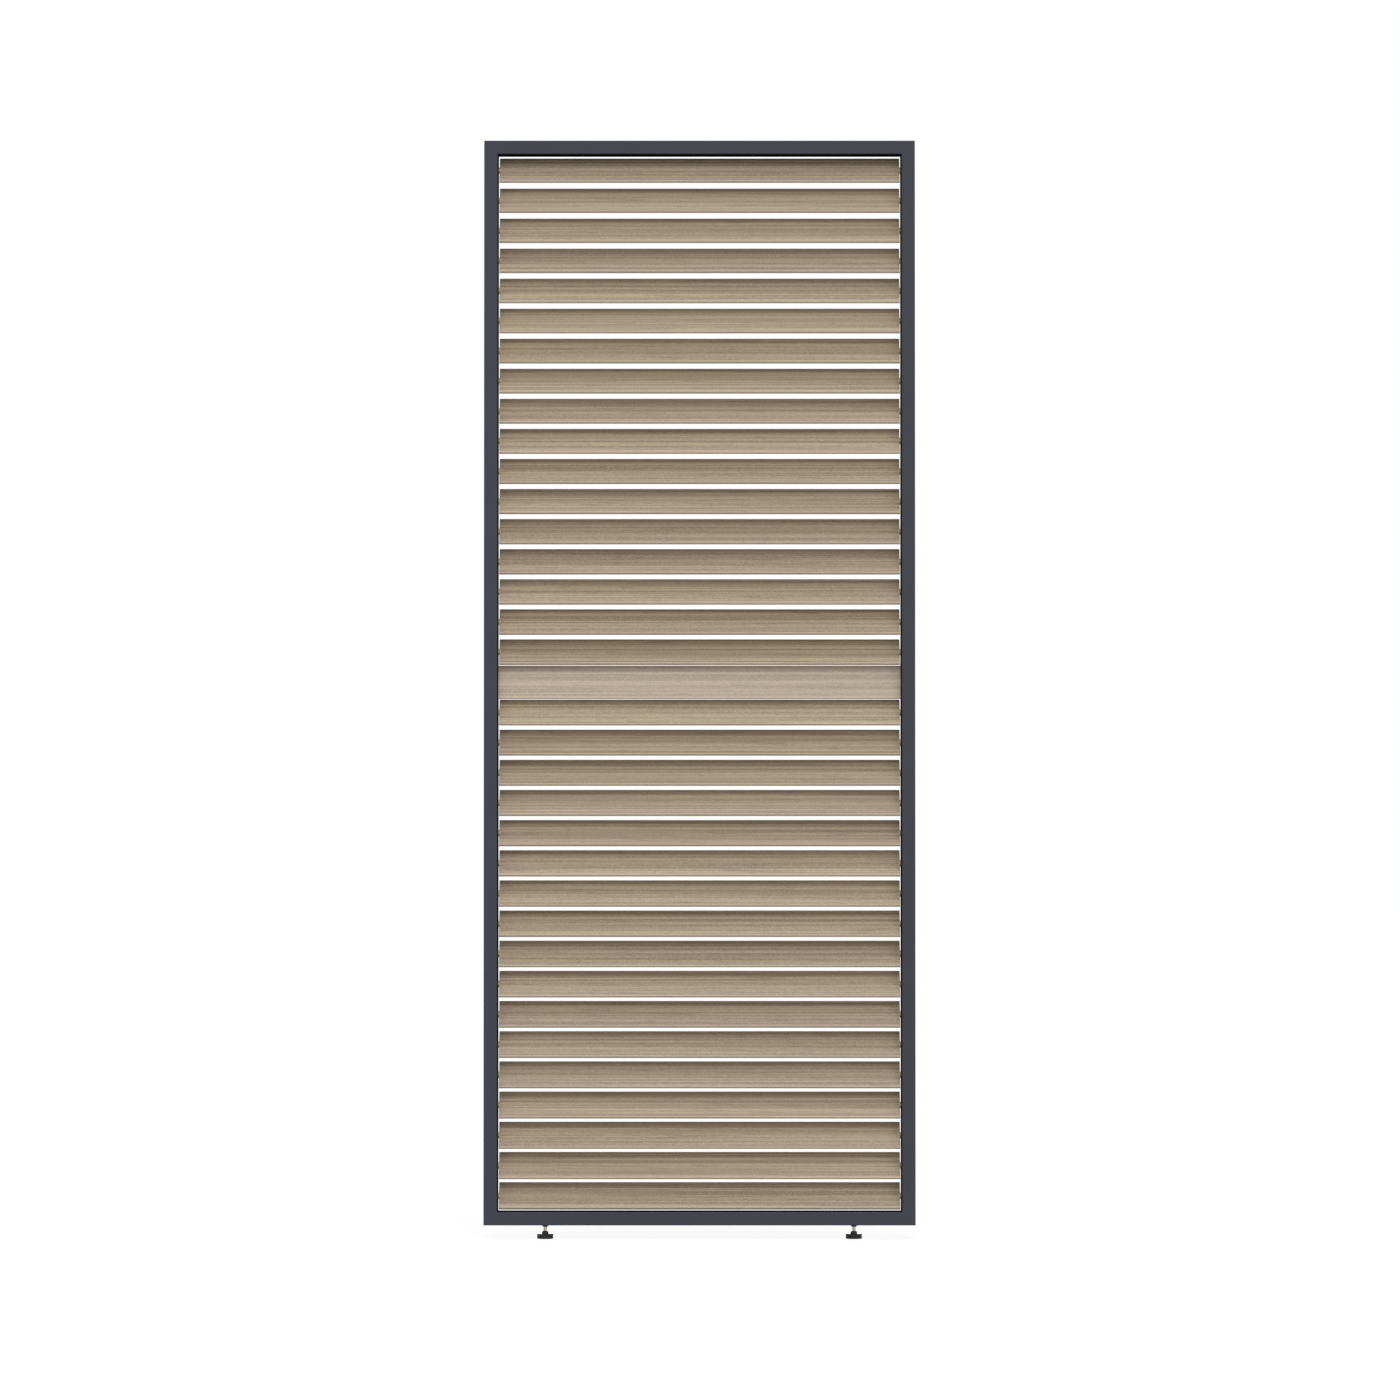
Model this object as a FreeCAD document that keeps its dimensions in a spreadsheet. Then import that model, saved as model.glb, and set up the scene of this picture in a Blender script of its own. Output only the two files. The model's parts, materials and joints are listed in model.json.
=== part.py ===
import FreeCAD, Part
import Sketcher
import os

# Louvred pergola panel: a mitred frame of channel extrusions, two groups of tilting slats
# with a fixed slat between them, hidden tilt bars and two levelling feet.
# Millimetres. Origin on the floor under the middle of the panel, +Z up, the front faces -Y.

SLATS_PER_GROUP = 17
SIDES = {"left": -1, "right": 1}
JOURNAL_SIDES = 12
LEVER_HEAD_SIDES = 8
MITRE_OVERCUT = 5.0
X_AXIS = FreeCAD.Vector(1, 0, 0)
Y_AXIS = FreeCAD.Vector(0, 1, 0)

SIZES = {
    # Frame extrusion
    "frame_width": 928.0,
    "face_width": 29.0,
    "frame_depth": 60.0,
    "profile_wall": 2.0,
    "web_wall": 2.0,
    "edge_radius": 2.0,
    "lip_thickness": 3.0,
    "slot_width": 40.0,
    "strip_groove": 4.1,
    "rib_thickness": 2.0,
    "rib_reach": 3.0,
    "bar_channel": 4.0,
    # Slats
    "slat_pitch": 65.0,
    "rail_gap": 33.0,
    "slat_chord": 70.0,
    "fixed_chord": 72.0,
    "slat_thickness": 8.0,
    "slat_chamfer": 2.5,
    "slat_wall": 1.4,
    "slat_end_gap": 3.65,
    "rest_tilt": 39.5,
    "closed_tilt": 7.5,
    "open_tilt": 90.0,
    # Slat end plugs
    "plug_length": 20.0,
    "plug_play": 0.05,
    "journal_radius": 7.0,
    "journal_play": 0.05,
    "journal_overhang": 1.0,
    # Levers and tilt bars
    "lever_radius": 14.0,
    "lever_head": 7.0,
    "bar_thickness": 3.0,
    "bar_side_play": 0.4,
    "bar_back_play": 0.3,
    "bar_end": 10.0,
    "notch_play": 0.45,
    "notch_engagement": 1.0,
    "tilt_gain": 0.94,
    # Strips in the frame channels
    "strip_thickness": 4.0,
    "strip_play": 0.15,
    "land_stand": 1.5,
    # Corner keys
    "key_leg": 60.0,
    "key_play": 0.1,
    # Levelling feet
    "foot_inset": 132.0,
    "pad_radius": 17.5,
    "pad_height": 11.0,
    "neck_flats": 12.6,
    "neck_height": 5.5,
    "neck_taper_height": 2.8,
    "neck_top_flats": 8.4,
    "stud_radius": 4.0,
    "stud_exposed": 9.5,
    "stud_engagement": 9.0,
    "thread_play": 0.1,
    "stud_clearance": 0.5,
    "lock_nut_flats": 13.0,
    "lock_nut_height": 4.0,
    "lock_nut_tip_flats": 9.8,
    "nut_block_length": 40.0,
    "nut_block_depth": 30.0,
    # Fixing holes in the top rail
    "fixing_inset": 164.0,
    "fixing_radius": 3.25,
}

doc = FreeCAD.newDocument("louvred_panel")
sheet = doc.addObject("Spreadsheet::Sheet", "sizes")
for row, (alias, value) in enumerate(SIZES.items(), start=1):
    sheet.set(f"A{row}", alias)
    sheet.set(f"B{row}", str(value))
    sheet.setAlias(f"B{row}", alias)
doc.recompute()

# Lengths that follow from the driving sizes
FOOT_HEIGHT = "(sizes.pad_height + sizes.neck_height + sizes.stud_exposed + sizes.lock_nut_height)"
OPENING_WIDTH = "(sizes.frame_width - 2 * sizes.face_width)"
OPENING_HEIGHT = f"({2 * SLATS_PER_GROUP} * sizes.slat_pitch + 2 * sizes.rail_gap)"
FRAME_HEIGHT = f"({OPENING_HEIGHT} + 2 * sizes.face_width)"
FRAME_MIDDLE = f"({FOOT_HEIGHT} + {FRAME_HEIGHT} / 2)"
INNER_HALF_DEPTH = "(sizes.frame_depth / 2 - sizes.profile_wall)"
STRIP_HALF_WIDTH = f"({INNER_HALF_DEPTH} - sizes.strip_play)"
LAND_HALF_WIDTH = "(sizes.slot_width / 2 - sizes.strip_play)"
LAND_HEIGHT = "(sizes.lip_thickness + sizes.land_stand)"

# Depths into the extrusion, counted from its outer face
LIP_AT = "(sizes.face_width - sizes.lip_thickness)"
RIB_TOP_AT = f"({LIP_AT} - sizes.strip_groove)"
RIB_FOOT_AT = f"({RIB_TOP_AT} - sizes.rib_thickness)"
FLOOR_AT = f"({RIB_FOOT_AT} - sizes.bar_channel)"
CHAMBER_AT = f"({FLOOR_AT} - sizes.web_wall)"
STRIP_AT = f"({LIP_AT} - sizes.strip_thickness)"
BAR_AT = f"({FLOOR_AT} + sizes.bar_side_play)"

# Slat and lever geometry
SLAT_LENGTH = f"({OPENING_WIDTH} - 2 * sizes.slat_end_gap)"
FIXED_SLAT_LENGTH = f"({OPENING_WIDTH} - 2 * sizes.land_stand)"
CAVITY_DEPTH = "(sizes.slat_thickness - 2 * sizes.slat_wall)"
SEAT_RADIUS = "(sizes.journal_radius + sizes.journal_play)"
LEVER_ANGLE = "((sizes.closed_tilt + sizes.open_tilt) / 2)"
HALF_SWING = "((sizes.open_tilt - sizes.closed_tilt) / 2 * 1 deg)"
HEAD_HALF_STEP = f"({180 / LEVER_HEAD_SIDES} deg)"
LEVER_CORNER = f"(sizes.lever_head / 2 / cos({HEAD_HALF_STEP}))"
NOTCH_HALF_HEIGHT = f"({LEVER_CORNER} + sizes.notch_play)"
NOTCH_REST = f"(sizes.tilt_gain * sizes.lever_radius * ({LEVER_ANGLE} - sizes.rest_tilt) * pi / 180)"


def value(expression):
    """The number that an expression on the sheet gives."""
    result = sheet.evalExpression(expression)
    return float(getattr(result, "Value", result))


def new_body(label):
    body = doc.addObject("PartDesign::Body", label)
    body.Label = label
    return body


def new_sketch(body, name, role, height=None):
    """A sketch on one of the body's origin planes, or at a height above it."""
    plane = next(f for f in body.Origin.OriginFeatures if f.Role == role)
    sketch = body.newObject("Sketcher::SketchObject", name)
    sketch.AttachmentSupport = [(plane, "")]
    sketch.MapMode = "FlatFace"
    if height is not None:
        sketch.setExpression("AttachmentOffset.Base.z", height)
    return sketch


def dimension(sketch, kind, geometry, vertex, expression):
    """Ties one coordinate of a vertex, counted from the sketch origin, to the sheet."""
    index = sketch.addConstraint(
        Sketcher.Constraint(kind, -1, 1, geometry, vertex, value(expression))
    )
    sketch.setExpression(f"Constraints[{index}]", expression)


def polygon(sketch, corners):
    """A closed outline whose corners are pairs of expressions."""
    first = sketch.GeometryCount
    points = [FreeCAD.Vector(value(a), value(b), 0) for a, b in corners]
    count = len(points)
    for i, point in enumerate(points):
        sketch.addGeometry(Part.LineSegment(point, points[(i + 1) % count]))
    for i in range(count):
        following = first + (i + 1) % count
        sketch.addConstraint(Sketcher.Constraint("Coincident", first + i, 2, following, 1))
    for i, (a, b) in enumerate(corners):
        dimension(sketch, "DistanceX", first + i, 1, a)
        dimension(sketch, "DistanceY", first + i, 1, b)


def rectangle(sketch, left, bottom, right, top):
    polygon(sketch, [(left, bottom), (right, bottom), (right, top), (left, top)])


def ring(corner_radius, sides, start=0.0, middle="0"):
    """Corners of a regular outline, counted in degrees from the first sketch axis."""
    angles = [start + 360 / sides * i for i in range(sides)]
    return [
        (f"({middle} + {corner_radius} * cos({a} deg))", f"({corner_radius} * sin({a} deg))")
        for a in angles
    ]


def hexagon(sketch, flats):
    polygon(sketch, ring(f"({flats} / 2 / cos(30 deg))", 6))


def circle(sketch, across, along, radius):
    centre = FreeCAD.Vector(value(across), value(along), 0)
    index = sketch.addGeometry(
        Part.Circle(centre, FreeCAD.Vector(0, 0, 1), value(radius))
    )
    constraint = sketch.addConstraint(Sketcher.Constraint("Radius", index, value(radius)))
    sketch.setExpression(f"Constraints[{constraint}]", radius)
    dimension(sketch, "DistanceX", index, 3, across)
    dimension(sketch, "DistanceY", index, 3, along)


def chamfered(sketch, width, height, chamfer):
    """A rectangle about the origin with its four corners cut at 45 degrees."""
    side = f"{width} / 2"
    top = f"{height} / 2"
    quarter = [(f"({side} - {chamfer})", f"({top})"), (f"({side})", f"({top} - {chamfer})")]
    right = quarter + [(across, f"-{along}") for across, along in reversed(quarter)]
    left = [(f"-{across}", along) for across, along in reversed(right)]
    polygon(sketch, right + left)


def pad(body, sketch, length, symmetric=False, reversed_=False):
    feature = body.newObject("PartDesign::Pad", f"{sketch.Name}_pad")
    feature.Profile = sketch
    feature.SideType = "Symmetric" if symmetric else "One side"
    feature.Reversed = reversed_
    feature.setExpression("Length", length)
    sketch.Visibility = False
    return feature


def hexagonal_taper(body, name, bottom, bottom_flats, top, top_flats):
    """A six-sided frustum between two heights."""
    lower = new_sketch(body, f"{name}_lower", "XY_Plane", bottom)
    hexagon(lower, bottom_flats)
    upper = new_sketch(body, f"{name}_upper", "XY_Plane", top)
    hexagon(upper, top_flats)
    feature = body.newObject("PartDesign::AdditiveLoft", name)
    feature.Profile = lower
    feature.Sections = [upper]
    feature.Ruled = True
    doc.recompute()


def cut_through(body, sketch):
    """A pocket right through, both ways from the sketch."""
    before = body.Shape.Volume
    feature = body.newObject("PartDesign::Pocket", f"{sketch.Name}_cut")
    feature.Profile = sketch
    feature.Type = "ThroughAll"
    feature.SideType = "Symmetric"
    doc.recompute()
    if not body.Shape.Volume < before:
        raise RuntimeError(f"{feature.Name} removes nothing")
    return feature


def repeat_upwards(body, feature, pitch, count):
    pattern = body.newObject("PartDesign::LinearPattern", f"{feature.Name}_row")
    axis = next(f for f in body.Origin.OriginFeatures if f.Role == "Z_Axis")
    pattern.Originals = [feature]
    pattern.Direction = (axis, [""])
    pattern.Occurrences = count
    pattern.setExpression("Length", f"{count - 1} * {pitch}")
    body.Tip = pattern
    return pattern


def place(item, x="0", y="0", z="0", axis=None, angle="0"):
    """Binds an object's place, and its turn about one axis, to expressions."""
    turn_axis = axis or FreeCAD.Vector(0, 0, 1)
    turn = FreeCAD.Rotation(turn_axis, value(angle))
    item.Placement = FreeCAD.Placement(FreeCAD.Vector(value(x), value(y), value(z)), turn)
    for name, expression in (("x", x), ("y", y), ("z", z)):
        item.setExpression(f"Placement.Base.{name}", expression)
    if axis is not None:
        item.setExpression("Placement.Rotation.Angle", f"{angle} * 1 deg")


def box(name, size_x, size_y, size_z, x, y, z):
    item = doc.addObject("Part::Box", name)
    item.setExpression("Length", size_x)
    item.setExpression("Width", size_y)
    item.setExpression("Height", size_z)
    place(item, x, y, z)
    return item


def fused(label, pieces):
    item = doc.addObject("Part::MultiFuse", label)
    item.Label = label
    item.Shapes = pieces
    item.Refine = True
    return item


def grouped(label, pieces):
    item = doc.addObject("Part::Compound", label)
    item.Label = label
    item.Links = pieces
    return item


def frame_member(label, length):
    """A mitred extrusion along X: outer face at z = 0, channel open towards -Z."""
    body = new_body(label)
    profile = new_sketch(body, f"{label}_profile", "YZ_Plane")
    half_depth = "sizes.frame_depth / 2"
    rib_edge = f"({INNER_HALF_DEPTH} - sizes.rib_reach)"
    back_half = [
        (half_depth, "0"),
        (half_depth, "-sizes.face_width"),
        ("sizes.slot_width / 2", "-sizes.face_width"),
        ("sizes.slot_width / 2", f"-{LIP_AT}"),
        (INNER_HALF_DEPTH, f"-{LIP_AT}"),
        (INNER_HALF_DEPTH, f"-{RIB_TOP_AT}"),
        (rib_edge, f"-{RIB_TOP_AT}"),
        (rib_edge, f"-{RIB_FOOT_AT}"),
        (INNER_HALF_DEPTH, f"-{RIB_FOOT_AT}"),
        (INNER_HALF_DEPTH, f"-{FLOOR_AT}"),
    ]
    front_half = [(f"-({across})", along) for across, along in reversed(back_half)]
    polygon(profile, back_half + front_half)
    rectangle(
        profile,
        f"-{INNER_HALF_DEPTH}",
        f"-{CHAMBER_AT}",
        INNER_HALF_DEPTH,
        "-sizes.profile_wall",
    )
    extrusion = pad(body, profile, length, symmetric=True)
    doc.recompute()

    # The four long outer corners are rounded before the ends are mitred
    long_edges = []
    for number, edge in enumerate(extrusion.Shape.Edges, start=1):
        middle = edge.CenterOfMass
        at_side = abs(abs(middle.y) - value(half_depth)) < 1e-6
        at_face = min(abs(middle.z), abs(middle.z + value("sizes.face_width"))) < 1e-6
        if at_side and at_face and abs(middle.x) < 1e-6:
            long_edges.append(f"Edge{number}")
    rounding = body.newObject("PartDesign::Fillet", f"{label}_edges")
    rounding.Base = (extrusion, long_edges)
    rounding.setExpression("Radius", "sizes.edge_radius")
    doc.recompute()

    mitres = new_sketch(body, f"{label}_mitres", "XZ_Plane")
    end = f"({length} / 2 + {MITRE_OVERCUT})"
    low = f"-(sizes.face_width + {MITRE_OVERCUT})"
    inner = f"({length} / 2 - sizes.face_width - {MITRE_OVERCUT})"
    for sign in ("", "-"):
        outer_corner = (f"{sign}{end}", f"{MITRE_OVERCUT}")
        lower_corner = (f"{sign}{end}", low)
        inner_corner = (f"{sign}{inner}", low)
        polygon(mitres, [outer_corner, lower_corner, inner_corner])
    cut_through(body, mitres)
    return body


def drill(body, name, inset, radius):
    """Two holes through the outer wall of a rail, each set in from one end."""
    sketch = new_sketch(body, name, "XY_Plane")
    for sign in ("", "-"):
        circle(sketch, f"{sign}(sizes.frame_width / 2 - {inset})", "0", radius)
    holes = cut_through(body, sketch)
    holes.Type = "Length"
    holes.setExpression("Length", "2 * sizes.profile_wall")


def frame():
    top = frame_member("top_rail", "sizes.frame_width")
    drill(top, "top_fixing_holes", "sizes.fixing_inset", "sizes.fixing_radius")
    place(top, z=f"{FOOT_HEIGHT} + {FRAME_HEIGHT}")
    bottom = frame_member("bottom_rail", "sizes.frame_width")
    drill(bottom, "stud_holes", "sizes.foot_inset", "sizes.stud_radius + sizes.stud_clearance")
    place(bottom, z=FOOT_HEIGHT, axis=Y_AXIS, angle="180")
    members = [top, bottom]
    for side, sign in SIDES.items():
        stile = frame_member(f"{side}_stile", FRAME_HEIGHT)
        outer_face = f"{sign} * sizes.frame_width / 2"
        place(stile, x=outer_face, z=FRAME_MIDDLE, axis=Y_AXIS, angle=f"{sign} * 90")
        members.append(stile)
    return members


def infill_strips():
    """Strips that close the rail channels behind the lips, leaving a recess for the slat edges."""
    length = f"(sizes.frame_width - 2 * {RIB_TOP_AT} - 2 * sizes.strip_play)"
    strips = []
    for label, bottom in (
        ("top_infill_strip", f"{FOOT_HEIGHT} + {FRAME_HEIGHT} - {LIP_AT}"),
        ("bottom_infill_strip", f"{FOOT_HEIGHT} + {STRIP_AT}"),
    ):
        body = new_body(label)
        outline = new_sketch(body, f"{label}_outline", "XY_Plane")
        rectangle(
            outline, f"-{length} / 2", f"-{STRIP_HALF_WIDTH}", f"{length} / 2", STRIP_HALF_WIDTH
        )
        pad(body, outline, "sizes.strip_thickness")
        place(body, z=bottom)
        strips.append(body)
    return strips


def strip_half(label, y_sign, sign):
    """Half a bearing strip: a flange behind the lips and a land that stands out between them."""
    body = new_body(label)
    section = new_sketch(body, f"{label}_section", "XY_Plane")
    back = f"({sign} * sizes.strip_thickness)"
    front = f"({-sign} * {LAND_HEIGHT})"
    outline = [
        ("0", f"{y_sign}{STRIP_HALF_WIDTH}"),
        (back, f"{y_sign}{STRIP_HALF_WIDTH}"),
        (back, SEAT_RADIUS),
        (front, SEAT_RADIUS),
        (front, f"{y_sign}{LAND_HALF_WIDTH}"),
        ("0", f"{y_sign}{LAND_HALF_WIDTH}"),
    ]
    polygon(section, outline)
    pad(body, section, f"({FRAME_HEIGHT} - 2 * {LIP_AT})", symmetric=True)
    doc.recompute()
    place(body, x=f"({sign} * (sizes.frame_width / 2 - {LIP_AT}))", z=FRAME_MIDDLE)
    return body


def bearing_strips():
    """In each stile, a comb whose slots carry the journals and a keeper that closes the slots."""
    lowest = f"(-{SLATS_PER_GROUP} * sizes.slat_pitch)"
    strips = []
    for side, sign in SIDES.items():
        comb = strip_half(f"{side}_bearing_comb", "-", sign)
        slot = new_sketch(comb, f"{side}_comb_slot", "YZ_Plane")
        rectangle(
            slot,
            f"-{SEAT_RADIUS}",
            f"{lowest} - {SEAT_RADIUS}",
            SEAT_RADIUS,
            f"{lowest} + {SEAT_RADIUS}",
        )
        first = cut_through(comb, slot)
        repeat_upwards(comb, first, "sizes.slat_pitch", 2 * SLATS_PER_GROUP + 1)
        strips += [comb, strip_half(f"{side}_bearing_keeper", "", sign)]
    return strips


def cavity(chord):
    """How far the cavity of a slat reaches along its chord."""
    return f"({chord} - sizes.slat_thickness)"


def blade(label, length, chord):
    """A hollow slat extrusion along X, standing upright about its tilt axis."""
    body = new_body(label)
    section = new_sketch(body, f"{label}_section", "YZ_Plane")
    chamfered(section, "sizes.slat_thickness", chord, "sizes.slat_chamfer")
    rectangle(
        section,
        f"-{CAVITY_DEPTH} / 2",
        f"-{cavity(chord)} / 2",
        f"{CAVITY_DEPTH} / 2",
        f"{cavity(chord)} / 2",
    )
    pad(body, section, length, symmetric=True)
    return body


def tongue(name, sign, end, chord):
    """The flat part of an end plug, inside the slat's cavity."""
    depth = f"({CAVITY_DEPTH} - 2 * sizes.plug_play)"
    height = f"({cavity(chord)} - 2 * sizes.plug_play)"
    near = f"{end} - sizes.plug_length" if sign > 0 else f"-{end}"
    return box(name, "sizes.plug_length", depth, height, near, f"-{depth} / 2", f"-{height} / 2")


def journal(name, sign, length):
    """A many-sided journal whose corners turn in the square slot of the comb."""
    body = new_body(name)
    outline = new_sketch(body, f"{name}_outline", "YZ_Plane")
    polygon(outline, ring("sizes.journal_radius", JOURNAL_SIDES))
    pad(body, outline, length, reversed_=sign < 0)
    place(body, x=f"{sign} * {SLAT_LENGTH} / 2")
    return body


def lever(start):
    """The arm that meets the tilt bar: a neck as wide as one side of its many-sided head."""
    body = new_body("slat_lever")
    outline = new_sketch(body, "lever_outline", "YZ_Plane")
    below_neck = 180 + 180 / LEVER_HEAD_SIDES
    head = ring(LEVER_CORNER, LEVER_HEAD_SIDES, below_neck, "sizes.lever_radius")
    half_neck = f"({LEVER_CORNER} * sin({HEAD_HALF_STEP}))"
    polygon(outline, [("0", half_neck), ("0", f"-{half_neck}")] + head)
    pad(body, outline, "sizes.bar_thickness")
    place(body, x=start, axis=X_AXIS, angle=LEVER_ANGLE)
    return body


def slats():
    """Every slat is a blade with an end plug at each end, turned to its rest tilt."""
    half = f"({SLAT_LENGTH} / 2)"
    lever_start = f"(sizes.frame_width / 2 - {BAR_AT} - sizes.bar_thickness)"
    seat_end = "sizes.slat_end_gap + sizes.lip_thickness + sizes.strip_thickness"
    plain_end = f"({seat_end} + sizes.journal_overhang)"
    chord = "sizes.slat_chord"
    extrusion = blade("slat_blade", SLAT_LENGTH, chord)
    left_plug = fused(
        "left_slat_plug",
        [tongue("left_tongue", -1, half, chord), journal("left_journal", -1, plain_end)],
    )
    right_plug = fused(
        "right_slat_plug",
        [
            tongue("right_tongue", 1, half, chord),
            journal("right_journal", 1, f"{lever_start} - {half}"),
            lever(lever_start),
        ],
    )
    items = []
    for group, direction in (("upper", 1), ("lower", -1)):
        for number in range(1, SLATS_PER_GROUP + 1):
            steps = direction * (SLATS_PER_GROUP + 1 - number if direction > 0 else number)
            item = grouped(f"{group}_slat_{number:02d}", [extrusion, left_plug, right_plug])
            place(
                item,
                z=f"{FRAME_MIDDLE} + {steps} * sizes.slat_pitch",
                axis=X_AXIS,
                angle="(-sizes.rest_tilt)",
            )
            items.append(item)
    return items


def fixed_slat():
    """The middle slat is a little wider and stays closed: square spigots fill the comb slots."""
    chord = "sizes.fixed_chord"
    half = f"({FIXED_SLAT_LENGTH} / 2)"
    width = "(2 * sizes.journal_radius)"
    reach = f"({LAND_HEIGHT} + sizes.strip_thickness)"
    slat = blade("fixed_mid_slat", FIXED_SLAT_LENGTH, chord)
    place(slat, z=FRAME_MIDDLE, axis=X_AXIS, angle="(-sizes.closed_tilt)")
    plugs = []
    for side, sign in SIDES.items():
        near = half if sign > 0 else f"-{half} - {reach}"
        spigot = box(
            f"{side}_spigot",
            reach,
            width,
            width,
            near,
            f"-{width} / 2",
            f"{FRAME_MIDDLE} - {width} / 2",
        )
        inner = tongue(f"{side}_mid_tongue", sign, half, chord)
        flat = grouped(f"{side}_fixed_tongue", [inner])
        place(flat, z=FRAME_MIDDLE, axis=X_AXIS, angle="(-sizes.closed_tilt)")
        plugs.append(fused(f"{side}_mid_plug", [spigot, flat]))
    return [slat, grouped("mid_slat_end_plugs", plugs)]


def tilt_bars():
    """Notched bars in the right stile: each notch holds the head of one lever."""
    bars = []
    last = SLATS_PER_GROUP - 1
    near = f"(sizes.lever_radius * cos({HALF_SWING}) - sizes.notch_engagement)"
    far = f"({INNER_HALF_DEPTH} - sizes.bar_back_play)"
    notch_end = f"(sizes.lever_radius + {NOTCH_HALF_HEIGHT})"
    for group, lowest in (("upper", 1), ("lower", -SLATS_PER_GROUP)):
        body = new_body(f"{group}_tilt_bar")
        outline = new_sketch(body, f"{group}_bar_outline", "YZ_Plane")
        rectangle(outline, near, "-sizes.bar_end", far, f"{last} * sizes.slat_pitch + sizes.bar_end")
        pad(body, outline, "sizes.bar_thickness")
        doc.recompute()
        notch = new_sketch(body, f"{group}_bar_notch", "YZ_Plane")
        rectangle(notch, near, f"-{NOTCH_HALF_HEIGHT}", notch_end, NOTCH_HALF_HEIGHT)
        first = cut_through(body, notch)
        repeat_upwards(body, first, "sizes.slat_pitch", SLATS_PER_GROUP)
        place(
            body,
            x=f"sizes.frame_width / 2 - {BAR_AT} - sizes.bar_thickness",
            z=f"{FRAME_MIDDLE} + {lowest} * sizes.slat_pitch + {NOTCH_REST}",
        )
        bars.append(body)
    return bars


def corner_keys():
    """Angle castings in the hollow chambers, one across each mitre."""
    body = new_body("corner_key")
    outline = new_sketch(body, "key_outline", "XZ_Plane")
    outer = "-(sizes.profile_wall + sizes.key_play)"
    inner = f"-({CHAMBER_AT} - sizes.key_play)"
    polygon(
        outline,
        [
            (outer, outer),
            (outer, "-sizes.key_leg"),
            (inner, "-sizes.key_leg"),
            (inner, inner),
            ("-sizes.key_leg", inner),
            ("-sizes.key_leg", outer),
        ],
    )
    pad(body, outline, f"2 * ({INNER_HALF_DEPTH} - sizes.key_play)", symmetric=True)
    keys = []
    corners = {
        "corner_key_top_right": (1, f"{FOOT_HEIGHT} + {FRAME_HEIGHT}", "0"),
        "corner_key_bottom_right": (1, FOOT_HEIGHT, "90"),
        "corner_key_bottom_left": (-1, FOOT_HEIGHT, "180"),
        "corner_key_top_left": (-1, f"{FOOT_HEIGHT} + {FRAME_HEIGHT}", "270"),
    }
    for label, (sign, height, angle) in corners.items():
        key = grouped(label, [body])
        place(key, x=f"{sign} * sizes.frame_width / 2", z=height, axis=Y_AXIS, angle=angle)
        keys.append(key)
    return keys


def nut_block(side, thread_radius):
    body = new_body(f"{side}_nut_block")
    outline = new_sketch(body, f"{side}_block_outline", "XY_Plane")
    half_length = "sizes.nut_block_length / 2"
    half_depth = "sizes.nut_block_depth / 2"
    rectangle(outline, f"-{half_length}", f"-{half_depth}", half_length, half_depth)
    circle(outline, "0", "0", thread_radius)
    pad(body, outline, f"({CHAMBER_AT} - sizes.profile_wall - 2 * sizes.key_play)")
    return body


def lock_nut(side, thread_radius):
    """A six-sided nut that narrows towards the stud."""
    body = new_body(f"{side}_lock_nut")
    hexagonal_taper(
        body,
        f"{side}_nut_form",
        "0",
        "sizes.lock_nut_tip_flats",
        "sizes.lock_nut_height",
        "sizes.lock_nut_flats",
    )
    bore = new_sketch(body, f"{side}_nut_bore", "XY_Plane")
    circle(bore, "0", "0", thread_radius)
    cut_through(body, bore)
    return body


def foot_pad(side, neck_top):
    """A round pad with a six-sided neck that narrows to the stud."""
    body = new_body(f"{side}_foot_pad")
    disc = new_sketch(body, f"{side}_pad_outline", "XY_Plane")
    circle(disc, "0", "0", "sizes.pad_radius")
    pad(body, disc, "sizes.pad_height")
    shoulder = f"({neck_top} - sizes.neck_taper_height)"
    neck = new_sketch(body, f"{side}_neck_outline", "XY_Plane", "sizes.pad_height")
    hexagon(neck, "sizes.neck_flats")
    pad(body, neck, "sizes.neck_height - sizes.neck_taper_height")
    doc.recompute()
    hexagonal_taper(
        body, f"{side}_neck_taper", shoulder, "sizes.neck_flats", neck_top, "sizes.neck_top_flats"
    )
    return body


def feet():
    """Nut blocks in the bottom rail, then a lock nut, a stud and a moulded pad on each side."""
    items = []
    blocks = []
    nuts = []
    thread_radius = "sizes.stud_radius + sizes.thread_play"
    neck_top = "(sizes.pad_height + sizes.neck_height)"
    for side, sign in SIDES.items():
        across = f"{sign} * (sizes.frame_width / 2 - sizes.foot_inset)"
        block = nut_block(side, thread_radius)
        place(block, x=across, z=f"{FOOT_HEIGHT} + sizes.profile_wall + sizes.key_play")
        blocks.append(block)
        nut = lock_nut(side, thread_radius)
        place(nut, x=across, z=f"{FOOT_HEIGHT} - sizes.lock_nut_height")
        nuts.append(nut)
        stud = doc.addObject("Part::Cylinder", f"{side}_foot_stud")
        stud.setExpression("Radius", "sizes.stud_radius")
        stud.setExpression("Height", f"{FOOT_HEIGHT} + sizes.stud_engagement - {neck_top}")
        place(stud, x=across, z=neck_top)
        foot = foot_pad(side, neck_top)
        place(foot, x=across)
        items += [stud, foot]
    return items + [grouped("foot_nut_blocks", blocks), grouped("foot_lock_nuts", nuts)]


parts = frame() + infill_strips() + bearing_strips() + slats() + fixed_slat()
parts += tilt_bars() + corner_keys() + feet()
doc.recompute()

for item in doc.Objects:
    if "Invalid" in item.State or "Error" in item.State:
        raise RuntimeError(f"{item.Label} did not compute: {item.State}")
for item in parts:
    if item.Shape.isNull() or not item.Shape.isValid():
        raise RuntimeError(f"{item.Label} has no sound shape")

os.makedirs("parts", exist_ok=True)
for item in parts:
    item.Shape.exportStep(f"parts/{item.Label}.step")
print(f"{len(parts)} sub-parts written")
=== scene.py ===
import json
import math
import random

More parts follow.
